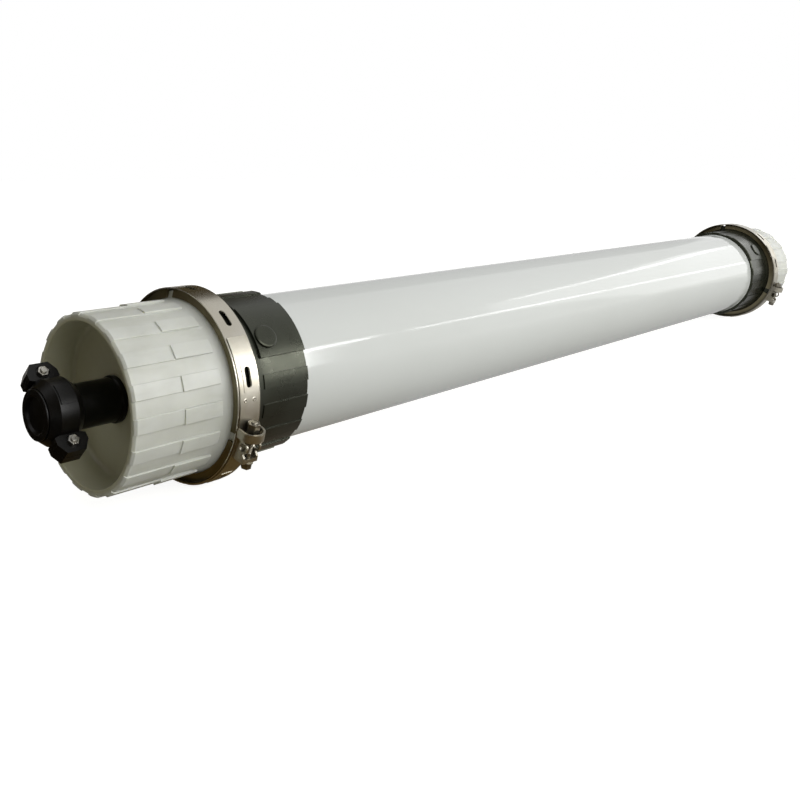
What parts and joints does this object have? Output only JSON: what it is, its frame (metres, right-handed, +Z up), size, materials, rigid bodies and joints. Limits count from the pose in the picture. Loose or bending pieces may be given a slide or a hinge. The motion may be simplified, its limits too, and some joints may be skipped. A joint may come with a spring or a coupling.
{
  "type": "ultrafiltration membrane module",
  "caption": "Long white filter tube lying level, with dark end sockets, ribbed cup-shaped end caps held by slotted steel clamps, and a plugged pipe coupling.",
  "frame": {"origin": "on the shell tube's axis, half way between the two clamped joints", "axes": "+X along the tube from the plugged port to the open port, +Z up as it lies in the picture, with the clamp latches towards -Y"},
  "size_m": [2.4113, 0.3026, 0.28],
  "materials": {
    "tube_plastic": "smooth, slightly satin",
    "socket_plastic": "dull",
    "cap_plastic": "smooth, slightly satin",
    "pipe_plastic": "dull",
    "coupling_plastic": "dull, slightly satin",
    "seal_rubber": "dull",
    "fibre_white": "dull",
    "net_plastic": "dull",
    "resin": "glossy",
    "clamp_steel": "brushed",
    "bolt_steel": "satin"
  },
  "bodies": {
    "root": {"shell_tube": "tube_plastic", "near_end_socket": "socket_plastic", "far_end_socket": "socket_plastic", "near_side_plug": "socket_plastic", "far_side_plug": "socket_plastic", "near_end_cap": "cap_plastic", "far_end_cap": "cap_plastic", "near_port_pipe": "pipe_plastic", "far_port_pipe": "pipe_plastic", "coupling_front_half": "coupling_plastic", "coupling_back_half": "coupling_plastic", "blank_plug": "coupling_plastic", "near_cap_seal": "seal_rubber", "far_cap_seal": "seal_rubber", "coupling_gasket": "seal_rubber", "fibre_bundle": "fibre_white", "bundle_net": "net_plastic", "near_potting": "resin", "far_potting": "resin", "near_clamp_band": "clamp_steel", "near_latch_cup": "clamp_steel", "near_latch_bracket": "clamp_steel", "near_retainer_lower": "clamp_steel", "near_retainer_back": "clamp_steel", "near_retainer_upper": "clamp_steel", "near_latch_bolt": "bolt_steel", "near_latch_nut": "bolt_steel", "far_clamp_band": "clamp_steel", "far_latch_cup": "clamp_steel", "far_latch_bracket": "clamp_steel", "far_retainer_lower": "clamp_steel", "far_retainer_back": "clamp_steel", "far_retainer_upper": "clamp_steel", "far_latch_bolt": "bolt_steel", "far_latch_nut": "bolt_steel", "coupling_bolts": "bolt_steel", "coupling_nuts": "bolt_steel"}
  },
  "joints": []
}
